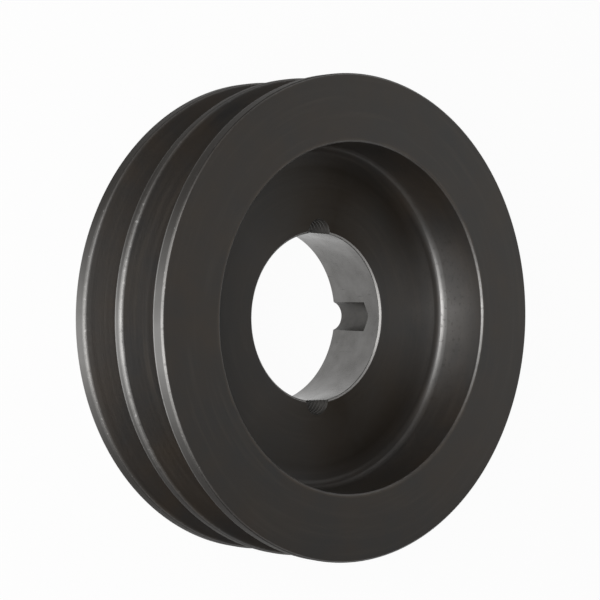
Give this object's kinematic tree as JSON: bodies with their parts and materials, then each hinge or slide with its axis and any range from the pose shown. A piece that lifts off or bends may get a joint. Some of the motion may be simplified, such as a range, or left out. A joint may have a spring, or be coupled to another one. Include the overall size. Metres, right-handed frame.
{
  "type": "taper bore v-belt pulley",
  "caption": "Black cast-iron V-belt pulley with side-by-side belt grooves, a recessed front face and a bright tapered bore with half-round screw holes for a clamping bush.",
  "frame": {"origin": "centre of the flat back face, on the pulley's axis", "axes": "+Z along the axis, from the back face towards the recessed front face; +X towards the plain half-hole"},
  "size_m": [0.152, 0.152, 0.0444],
  "materials": {
    "pulley": "turned cast iron with a thin black phosphate finish; the taper bore is bare bright metal"
  },
  "bodies": {
    "root": {"pulley": "pulley"}
  },
  "joints": []
}
